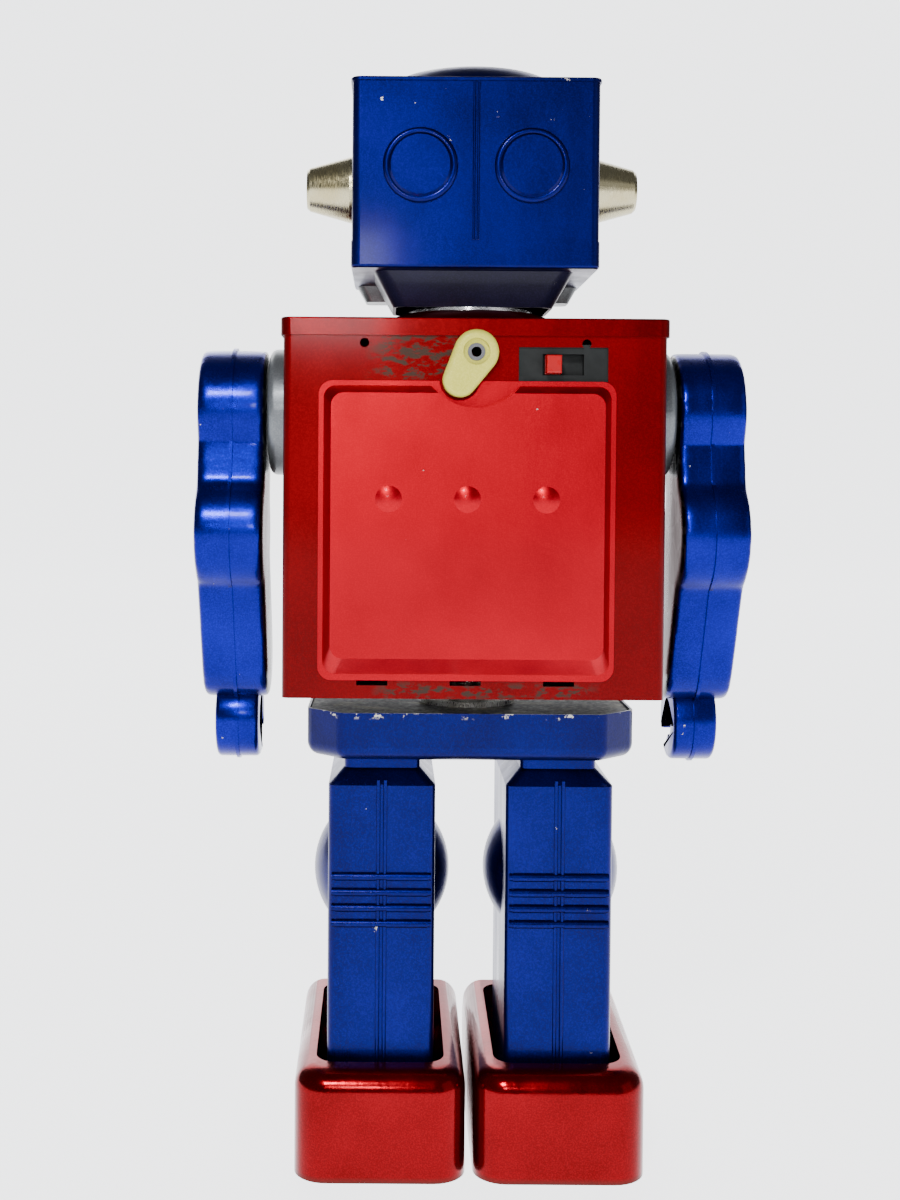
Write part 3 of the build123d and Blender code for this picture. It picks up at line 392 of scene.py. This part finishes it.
# ---------------------------------------------------------------- torso
# The body box is one folded sheet with a lid pressed over its top and a tin floor. It is dark red, duller
# than the battery cover.
behind = (30 * MM, 50 * MM)
under_lever = ((4 * MM, 26 * MM), behind, (206 * MM, 218 * MM), 0.5)
under_tabs = ((-30 * MM, 24 * MM), behind, (124 * MM, 128 * MM), 0.52)
torso_red = enamel("torso_red", (0.085, 0.0, 0.001), (0.145, 0.0, 0.002), metallic=0.9, rough=0.42,
                   chips=0.66, scrapes_and_painted_shade=(under_lever, under_tabs))
lid_red = enamel("lid_red", (0.08, 0.0, 0.001), (0.14, 0.0, 0.002), metallic=0.9, rough=0.3, chips=0.66)
dress(torso_red, "torso_shell")
dress(lid_red, "torso_lid")
dress(tin, "torso_floor")
neck_bright = bare_metal("neck_plating", (0.50, 0.50, 0.51), 0.14, (1, 1, 8), 1200.0, (0.5, 0.48, 0.42))
dress(neck_bright, "neck_ring", "chest_bezel", "mouth_grille")

material, tree, shader = tree_of("clear_window")
shader.inputs["Base Color"].default_value = (0.93, 0.96, 0.97, 1.0)
shader.inputs["Transmission Weight"].default_value = 1.0
shader.inputs["IOR"].default_value = 1.2
haze = spread(tree, noise(tree, where(tree), 140.0, 5.0), 0.35, 0.8, 0.02, 0.14)
tree.links.new(haze, shader.inputs["Roughness"])
dress(material, "chest_window")

# ---------------------------------------------------------------- works behind the window
# Fibre battery box, two cells in plain foil jackets, the motor between two tin plates, and bright moulded
# wheels on steel arbors.
board = moulded("fibre_board", (0.05, 0.045, 0.04), (0.09, 0.085, 0.07), 0.7)
dress(board, "battery_box")
dress(moulded("switch_board", (0.004, 0.005, 0.005), (0.010, 0.012, 0.012), 0.6), "switch_body")
dress(bare_metal("cell_jacket", (0.30, 0.32, 0.36), 0.3), "battery_cells")
dress(bare_metal("contact_brass", (0.72, 0.54, 0.22), 0.3), "battery_contacts", "motor_pinion")
dress(bare_metal("motor_steel", (0.48, 0.49, 0.50), 0.32), "motor_can")
dress(tin, "rear_gear_plate", "front_gear_plate")
dress(moulded("wheel_white", (0.62, 0.61, 0.56), (0.78, 0.77, 0.72), 0.35, coat=0.3), "drive_gear")
dress(moulded("wheel_yellow", (0.42, 0.24, 0.0), (0.56, 0.34, 0.002), 0.32, coat=0.3), "centre_gear")
dress(moulded("wheel_green", (0.0, 0.12, 0.03), (0.002, 0.18, 0.05), 0.32, coat=0.3), "left_gear")
dress(moulded("wheel_red", (0.28, 0.002, 0.002), (0.40, 0.004, 0.004), 0.32, coat=0.3), "right_gear")

# ---------------------------------------------------------------- cover, latch and switch
# The cover is a shallow pressed tray in the brightest red. A pale yellow lever turns on a dark post to hold it,
# and a red knob slides in the dark switch plate.
cover_red = enamel("cover_red", (0.26, 0.0, 0.006), (0.38, 0.0, 0.010), metallic=0.95, rough=0.36, chips=0.65)
dress(cover_red, "battery_cover")
dress(enamel("lever_yellow", (0.42, 0.40, 0.05), (0.56, 0.53, 0.10), metallic=0.0, rough=0.35), "latch_lever")
dress(bare_metal("dark_post", (0.10, 0.10, 0.11), 0.4), "latch_post")
dress(moulded("knob_red", (0.26, 0.0, 0.002), (0.38, 0.001, 0.004), 0.3, coat=0.4), "switch_knob")

# ---------------------------------------------------------------- head
# The head is a folded box with a lapped seam and two pressed discs at the back, round eyes and a grille at
# the front, and turned steel ears. The rings, lips and rims are added to the CAD shape.
head_blue = enamel("head_blue", (0.001, 0.001, 0.040), (0.003, 0.003, 0.10), metallic=0.9, rough=0.32)
dress(head_blue, "head_shell", "head_cap", "head_base")
eye_x = 14.4  # the discs at the back stand at the same spacing as the eyes
rings = [ring("head_rings", (way * eye_x, 32.1, 261.3), 8.7, 1.0) for way in (-1, 1)]
rings += [disc("seam_lip", (lip, 31.95, 262.5), 0.35, 40.4, "Z", 16) for lip in (-0.55, 0.55)]
rims = [ring("eye_rims", (way * eye_x, -20.1, 264.0), 8.3, 0.8) for way in (-1, 1)]
finish(join(rings), head_blue, "torso", "blue_enamel")
finish(join(rims), neck_bright, "torso", "neck_plate")
dress(enamel("cowl_black", (0.004, 0.004, 0.012), (0.012, 0.010, 0.035), metallic=0.2, rough=0.35), "neck_cowl")
dress(enamel("jaw_grey", (0.10, 0.105, 0.11), (0.18, 0.185, 0.19), metallic=0.6, rough=0.35), "jaw")
ear_steel = bare_metal("ear_steel", (0.42, 0.38, 0.24), 0.22, (8, 1, 1), 700.0, (0.36, 0.30, 0.14))
dress(ear_steel, "left_ear_cone", "right_ear_cone")
dress(moulded("eye_amber", (0.42, 0.10, 0.0), (0.60, 0.18, 0.002), 0.18, coat=0.8), "eye_lenses")

# ---------------------------------------------------------------- arms
# Each arm is two pressed halves joined at a flange, with a disc at the shoulder and elbow and an open ring for
# a hand. Its inner face is printed with grey lines on black.
shoulder_y, shoulder_z, elbow_y, elbow_z = 6.0, 198.5, 14.0, 166.0
bend_y, bend_z = 12.5, 161.0
wrist_y, wrist_z, hand_y, hand_z = -2.0, 130.0, -8.5, 112.5
arm_x, arm_deep, limb_wide, flange_thick = 64.0, 18.2, 22.0, 0.9
hand_round, hand_deep, grip_round = 11.4, 12.0, 4.6


def arm_form(name, x, depth, grow):
    """Shoulder disc, upper arm, elbow disc and forearm as one piece, grown all round by an amount."""
    reach = math.hypot(wrist_y - bend_y, wrist_z - bend_z)
    lean = math.atan2(wrist_y - bend_y, bend_z - wrist_z)
    wide = limb_wide + 2 * grow
    return join([
        disc(name, (x, shoulder_y, shoulder_z), 16.5 + grow, depth),
        block("upper", (x, 10.6, 183), (depth, wide, 26), math.atan2(5, 26)),
        disc("elbow", (x, elbow_y, elbow_z), 15.5 + grow, depth),
        block("forearm", (x, (bend_y + wrist_y) / 2, (bend_z + wrist_z) / 2), (depth, wide, reach), lean),
        disc("wrist", (x, wrist_y, wrist_z), 10.6 + grow, depth),
    ])


def hand_form(name, x, radius, depth):
    """An open ring for a hand, cut for the grip and for the gap at its lower front."""
    hand = disc(name, (x, hand_y, hand_z), radius, depth)
    cut(hand, disc("grip", (x, hand_y, hand_z), grip_round, 20.0))
    cut(hand, block("gap", (x, hand_y - 8, hand_z - 6.5), (20, 14, 6.4), math.radians(39)))
    return hand


def make_arm(side):
    """Both halves of an arm as one soft, puffed form, with its hand and the flat flange of the seam."""
    x = SIGN[side] * arm_x
    arm = arm_form(f"{side}_arm", x, arm_deep, 0.3)
    shape(arm, "REMESH", mode="VOXEL", voxel_size=0.8 * MM, use_smooth_shade=True)
    shape(arm, "SMOOTH", factor=1.0, iterations=14)
    flange = arm_form("flange", x, flange_thick, 0.9)
    hand = hand_form("hand", x, hand_round, hand_deep)
    choose(hand, lambda a, b: abs(a.x - b.x) < 0.1)
    bpy.ops.mesh.bevel(offset=1.2 * MM, segments=3)
    bpy.ops.object.mode_set(mode="OBJECT")
    seam = hand_form("seam", x, hand_round + 0.55, flange_thick)
    inner = tuple(sorted((SIGN[side] * 50 * MM, SIGN[side] * 55.6 * MM)))
    arm_blue = enamel(f"{side}_arm_blue", (0.001, 0.001, 0.085), (0.003, 0.004, 0.24), metallic=0.93,
                      rough=0.24, printed=inner)
    finish(join([arm, flange, hand, seam]), arm_blue, f"{side}_arm", "blue_enamel",
           f"{side}_arm_outer_shell", f"{side}_arm_inner_shell")


for side in SIDES:
    make_arm(side)
    cup_grey = enamel(f"{side}_cup_grey", (0.10, 0.11, 0.12), (0.17, 0.18, 0.19), metallic=0.6)
    dress(cup_grey, f"{side}_shoulder_cup")
dress(steel_pin, "shoulder_pins")

# ---------------------------------------------------------------- floor, lights and camera
# A pale glowing floor that curves up into a backdrop on one side, a small hard key lamp, two soft boxes, and a
# weak lamp beside the lens.
bpy.ops.object.select_all(action="DESELECT")
bpy.ops.mesh.primitive_plane_add(size=8, location=(0, 0, 0))
floor = bpy.context.object
floor.name = "floor"
bpy.ops.object.mode_set(mode="EDIT")
bpy.ops.mesh.select_mode(type="EDGE")
bpy.ops.mesh.select_all(action="DESELECT")
bpy.ops.object.mode_set(mode="OBJECT")
for edge in floor.data.edges:
    edge.select = all(floor.data.vertices[v].co.y < -3.9 for v in edge.vertices)
bpy.ops.object.mode_set(mode="EDIT")
bpy.ops.mesh.extrude_region_move(TRANSFORM_OT_translate={"value": (0, 0, 5)})
bpy.ops.object.mode_set(mode="OBJECT")
for edge in floor.data.edges:
    ends = [floor.data.vertices[v].co for v in edge.vertices]
    edge.select = all(end.y < -3.9 and end.z < 0.1 for end in ends)
bpy.ops.object.mode_set(mode="EDIT")
bpy.ops.mesh.bevel(offset=2.0, segments=16)
bpy.ops.object.mode_set(mode="OBJECT")
bpy.ops.object.shade_smooth()
material, tree, shader = tree_of("studio_floor")
shader.inputs["Base Color"].default_value = (0.30, 0.30, 0.31, 1)
shader.inputs["Emission Color"].default_value = (0.9, 0.91, 0.93, 1)
shader.inputs["Emission Strength"].default_value = 3.3
shader.inputs["Roughness"].default_value = 0.75
floor.data.materials.append(material)

world = bpy.data.worlds.new("studio")
world.use_nodes = True
world.node_tree.nodes["Background"].inputs["Color"].default_value = (0.93, 0.94, 0.96, 1)
world.node_tree.nodes["Background"].inputs["Strength"].default_value = 0.16
bpy.context.scene.world = world


def lamp(name, place, target, size, power):
    """A square soft box at a place, turned to a target."""
    light = bpy.data.lights.new(name, "AREA")
    light.size, light.energy = size, power
    holder = bpy.data.objects.new(name, light)
    holder.location = place
    holder.rotation_euler = (Vector(target) - Vector(place)).to_track_quat("-Z", "Y").to_euler()
    bpy.context.scene.collection.objects.link(holder)


middle = (0, 0, 0.15)
lamp("key", (0.16, 0.66, 0.62), middle, 0.1, 5.2)
lamp("fill", (-0.9, 0.6, 0.4), middle, 0.8, 1.2)
lamp("front", (0.4, -1.1, 0.8), middle, 0.8, 4)
lamp("flash", (0.06, 0.62, 0.30), middle, 0.07, 0.8)

camera = bpy.data.objects.new("camera", bpy.data.cameras.new("camera"))
camera.data.sensor_fit = "VERTICAL"
camera.data.sensor_height = 36.0
camera.data.lens = 46.5
camera.data.clip_start = 0.01
bpy.context.scene.collection.objects.link(camera)
camera.data.shift_x, camera.data.shift_y = 0.05, -0.072
turn = Matrix.Rotation(math.radians(180), 3, "Z") @ Matrix.Rotation(math.radians(90 - 1.5), 3, "X")
camera.rotation_euler = (turn @ Matrix.Rotation(math.radians(0.4), 3, "Z")).to_euler()
camera.location = (21.6 * MM, 433 * MM, 182 * MM)
bpy.context.scene.camera = camera
